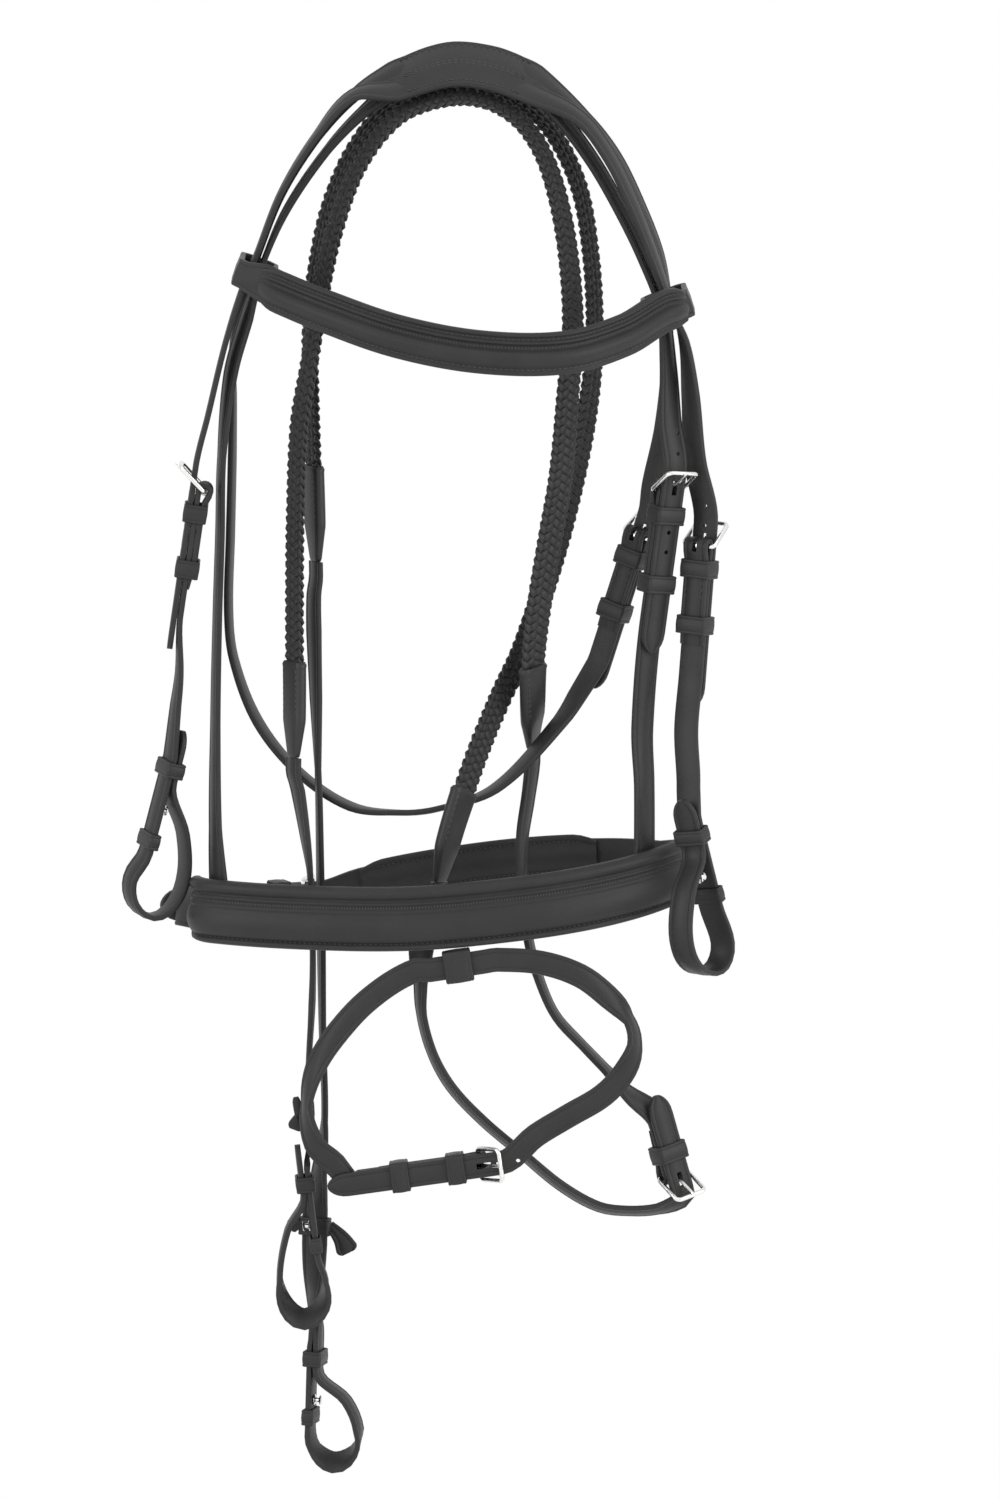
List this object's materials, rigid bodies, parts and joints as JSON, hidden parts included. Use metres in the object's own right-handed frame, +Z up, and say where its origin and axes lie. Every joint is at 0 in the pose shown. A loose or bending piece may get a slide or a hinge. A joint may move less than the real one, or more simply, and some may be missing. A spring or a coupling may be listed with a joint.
{
  "type": "horse bridle with reins",
  "caption": "Leather horse bridle with padded browband and noseband, flash strap, throatlash, buckled cheekpieces with hook-stud bit ends, and laced reins.",
  "frame": {"origin": "the middle of the underside of the reins and straps under the crown, where a hook would carry the bridle", "axes": "+Z up along the hanging bridle, +X to the viewer's right (the horse's left), -Y towards the viewer, the front of the browband and the noseband"},
  "size_m": [0.3708, 0.1825, 0.8703],
  "materials": {
    "black_leather": "black bridle leather, waxed, soft sheen",
    "padded_leather": "soft black leather over padding",
    "polished_steel": "polished stainless steel"
  },
  "bodies": {
    "bridle": {"browband": "black_leather", "browband_pad": "padded_leather", "chin_fixed_keeper": "black_leather", "chin_pad": "padded_leather", "flash_fixed_keeper": "black_leather", "flash_loop": "black_leather", "flash_strap": "black_leather", "headpiece": "black_leather", "left_cheek_fixed_keeper": "black_leather", "left_cheek_hook_stud": "polished_steel", "left_cheek_strap": "black_leather", "left_rein_bit_strap": "black_leather", "left_rein_grip": "black_leather", "left_rein_hand_strap": "black_leather", "left_rein_hook_stud": "polished_steel", "noseband": "black_leather", "noseband_hanger": "black_leather", "noseband_hanger_fixed_keeper": "black_leather", "noseband_headstrap": "black_leather", "noseband_pad": "padded_leather", "rein_fixed_keeper": "black_leather", "right_cheek_fixed_keeper": "black_leather", "right_cheek_hook_stud": "polished_steel", "right_cheek_strap": "black_leather", "right_rein_bit_strap": "black_leather", "right_rein_grip": "black_leather", "right_rein_hand_strap": "black_leather", "right_rein_hook_stud": "polished_steel", "throatlash_fixed_keeper": "black_leather"},
    "left_cheek_buckle_frame": {"left_cheek_buckle_frame": "polished_steel"},
    "left_cheek_buckle_tongue": {"left_cheek_buckle_tongue": "polished_steel"},
    "left_cheek_running_keeper": {"left_cheek_running_keeper": "black_leather"},
    "right_cheek_buckle_frame": {"right_cheek_buckle_frame": "polished_steel"},
    "right_cheek_buckle_tongue": {"right_cheek_buckle_tongue": "polished_steel"},
    "right_cheek_running_keeper": {"right_cheek_running_keeper": "black_leather"},
    "throatlash_buckle_frame": {"throatlash_buckle_frame": "polished_steel"},
    "throatlash_buckle_tongue": {"throatlash_buckle_tongue": "polished_steel"},
    "throatlash_running_keeper": {"throatlash_running_keeper": "black_leather"},
    "noseband_hanger_buckle_frame": {"noseband_hanger_buckle_frame": "polished_steel"},
    "noseband_hanger_buckle_tongue": {"noseband_hanger_buckle_tongue": "polished_steel"},
    "noseband_hanger_running_keeper": {"noseband_hanger_running_keeper": "black_leather"},
    "chin_buckle_frame": {"chin_buckle_frame": "polished_steel"},
    "chin_buckle_tongue": {"chin_buckle_tongue": "polished_steel"},
    "chin_running_keeper": {"chin_running_keeper": "black_leather"},
    "flash_buckle_frame": {"flash_buckle_frame": "polished_steel"},
    "flash_buckle_tongue": {"flash_buckle_tongue": "polished_steel"},
    "flash_running_keeper": {"flash_running_keeper": "black_leather"},
    "rein_buckle_frame": {"rein_buckle_frame": "polished_steel"},
    "rein_buckle_tongue": {"rein_buckle_tongue": "polished_steel"},
    "left_cheek_upper_bit_keeper": {"left_cheek_upper_bit_keeper": "black_leather"},
    "left_cheek_lower_bit_keeper": {"left_cheek_lower_bit_keeper": "black_leather"},
    "right_cheek_upper_bit_keeper": {"right_cheek_upper_bit_keeper": "black_leather"},
    "right_cheek_lower_bit_keeper": {"right_cheek_lower_bit_keeper": "black_leather"},
    "left_rein_upper_bit_keeper": {"left_rein_upper_bit_keeper": "black_leather"},
    "left_rein_lower_bit_keeper": {"left_rein_lower_bit_keeper": "black_leather"},
    "right_rein_upper_bit_keeper": {"right_rein_upper_bit_keeper": "black_leather"},
    "right_rein_lower_bit_keeper": {"right_rein_lower_bit_keeper": "black_leather"},
    "left_rein_stop": {"left_rein_stop": "black_leather"},
    "right_rein_stop": {"right_rein_stop": "black_leather"}
  },
  "joints": [
    {"name": "left_cheek_buckle_frame_hinge", "type": "hinge", "parent": "bridle", "child": "left_cheek_buckle_frame", "pos_m": [-0.1476, -0.0132, -0.23202], "axis": [0, 1, 0], "range_deg": [-6, 6]},
    {"name": "left_cheek_buckle_tongue_hinge", "type": "hinge", "parent": "left_cheek_buckle_frame", "child": "left_cheek_buckle_tongue", "pos_m": [-0.1476, -0.0132, -0.23202], "axis": [0, -1, 0], "range_deg": [0, 6]},
    {"name": "left_cheek_running_keeper_slide", "type": "slide", "parent": "bridle", "child": "left_cheek_running_keeper", "axis": [-0.1444, 0, -0.9895], "range_m": [-0.011, 0.02]},
    {"name": "right_cheek_buckle_frame_hinge", "type": "hinge", "parent": "bridle", "child": "right_cheek_buckle_frame", "pos_m": [0.1494, -0.006, -0.26636], "axis": [0.8651, -0.4994, -0.0471], "range_deg": [-6, 6]},
    {"name": "right_cheek_buckle_tongue_hinge", "type": "hinge", "parent": "right_cheek_buckle_frame", "child": "right_cheek_buckle_tongue", "pos_m": [0.1494, -0.006, -0.26636], "axis": [-0.8651, 0.4994, 0.0471], "range_deg": [0, 6]},
    {"name": "right_cheek_running_keeper_slide", "type": "slide", "parent": "bridle", "child": "right_cheek_running_keeper", "axis": [-0.0763, -0.0382, -0.9964], "range_m": [-0.011, 0.02]},
    {"name": "throatlash_buckle_frame_hinge", "type": "hinge", "parent": "bridle", "child": "throatlash_buckle_frame", "pos_m": [0.1122, 0.018, -0.26306], "axis": [0.8322, -0.4805, -0.2768], "range_deg": [-6, 6]},
    {"name": "throatlash_buckle_tongue_hinge", "type": "hinge", "parent": "throatlash_buckle_frame", "child": "throatlash_buckle_tongue", "pos_m": [0.1122, 0.018, -0.26306], "axis": [-0.8322, 0.4805, 0.2768], "range_deg": [0, 6]},
    {"name": "throatlash_running_keeper_slide", "type": "slide", "parent": "bridle", "child": "throatlash_running_keeper", "axis": [-0.3008, 0.0282, -0.9533], "range_m": [-0.011, 0.02]},
    {"name": "noseband_hanger_buckle_frame_hinge", "type": "hinge", "parent": "bridle", "child": "noseband_hanger_buckle_frame", "pos_m": [0.1296, -0.0036, -0.23337], "axis": [-0.8143, -0.5702, 0.1086], "range_deg": [-6, 6]},
    {"name": "noseband_hanger_buckle_tongue_hinge", "type": "hinge", "parent": "noseband_hanger_buckle_frame", "child": "noseband_hanger_buckle_tongue", "pos_m": [0.1296, -0.0036, -0.23337], "axis": [0.8143, 0.5702, -0.1086], "range_deg": [0, 6]},
    {"name": "noseband_hanger_running_keeper_slide", "type": "slide", "parent": "bridle", "child": "noseband_hanger_running_keeper", "axis": [-0.1321, 0, -0.9912], "range_m": [0, 0.018]},
    {"name": "chin_buckle_frame_hinge", "type": "hinge", "parent": "bridle", "child": "chin_buckle_frame", "pos_m": [-0.09, 0.0576, -0.4916], "axis": [-0.01, -0.0051, -0.9999], "range_deg": [-6, 6]},
    {"name": "chin_buckle_tongue_hinge", "type": "hinge", "parent": "chin_buckle_frame", "child": "chin_buckle_tongue", "pos_m": [-0.09, 0.0576, -0.4916], "axis": [0.01, 0.0051, 0.9999], "range_deg": [0, 6]},
    {"name": "chin_running_keeper_slide", "type": "slide", "parent": "bridle", "child": "chin_running_keeper", "axis": [-0.9191, -0.3939, 0.0112], "range_m": [-0.011, 0.018]},
    {"name": "flash_buckle_frame_hinge", "type": "hinge", "parent": "bridle", "child": "flash_buckle_frame", "pos_m": [0.0174, -0.0456, -0.63705], "axis": [-0.1449, 0, 0.9895], "range_deg": [-6, 6]},
    {"name": "flash_buckle_tongue_hinge", "type": "hinge", "parent": "flash_buckle_frame", "child": "flash_buckle_tongue", "pos_m": [0.0174, -0.0456, -0.63705], "axis": [0.1449, 0, -0.9895], "range_deg": [0, 6]},
    {"name": "flash_running_keeper_slide", "type": "slide", "parent": "bridle", "child": "flash_running_keeper", "axis": [-0.989, 0.0309, -0.1448], "range_m": [-0.011, 0.018]},
    {"name": "rein_buckle_frame_hinge", "type": "hinge", "parent": "bridle", "child": "rein_buckle_frame", "pos_m": [0.1338, -0.0096, -0.64938], "axis": [0.8078, 0.5449, 0.225], "range_deg": [-6, 6]},
    {"name": "rein_buckle_tongue_hinge", "type": "hinge", "parent": "rein_buckle_frame", "child": "rein_buckle_tongue", "pos_m": [0.1338, -0.0096, -0.64938], "axis": [-0.8078, -0.5449, -0.225], "range_deg": [0, 6]},
    {"name": "left_cheek_upper_bit_keeper_slide", "type": "slide", "parent": "bridle", "child": "left_cheek_upper_bit_keeper", "axis": [-0.2511, 0, -0.968], "range_m": [-0.004, 0.004]},
    {"name": "left_cheek_lower_bit_keeper_slide", "type": "slide", "parent": "bridle", "child": "left_cheek_lower_bit_keeper", "axis": [-0.2511, 0, -0.968], "range_m": [-0.009, 0.0015]},
    {"name": "right_cheek_upper_bit_keeper_slide", "type": "slide", "parent": "bridle", "child": "right_cheek_upper_bit_keeper", "axis": [0.2323, 0.1549, -0.9602], "range_m": [-0.004, 0.004]},
    {"name": "right_cheek_lower_bit_keeper_slide", "type": "slide", "parent": "bridle", "child": "right_cheek_lower_bit_keeper", "axis": [0.2323, 0.1549, -0.9602], "range_m": [-0.004, 0.0015]},
    {"name": "left_rein_upper_bit_keeper_slide", "type": "slide", "parent": "bridle", "child": "left_rein_upper_bit_keeper", "axis": [0.1198, -0.0133, -0.9927], "range_m": [-0.004, 0.004]},
    {"name": "left_rein_lower_bit_keeper_slide", "type": "slide", "parent": "bridle", "child": "left_rein_lower_bit_keeper", "axis": [0.1198, -0.0133, -0.9927], "range_m": [-0.0018, 0.0015]},
    {"name": "right_rein_upper_bit_keeper_slide", "type": "slide", "parent": "bridle", "child": "right_rein_upper_bit_keeper", "axis": [-0.0275, -0.0138, -0.9995], "range_m": [-0.004, 0.002]},
    {"name": "right_rein_lower_bit_keeper_slide", "type": "slide", "parent": "bridle", "child": "right_rein_lower_bit_keeper", "axis": [-0.0275, -0.0138, -0.9995], "range_m": [-0.0006, 0.0015]},
    {"name": "left_rein_stop_slide", "type": "slide", "parent": "bridle", "child": "left_rein_stop", "axis": [0, 0, -1], "range_m": [-0.005, 0.003]},
    {"name": "right_rein_stop_slide", "type": "slide", "parent": "bridle", "child": "right_rein_stop", "axis": [-0.0187, 0, -0.9998], "range_m": [-0.005, 0.005]}
  ]
}
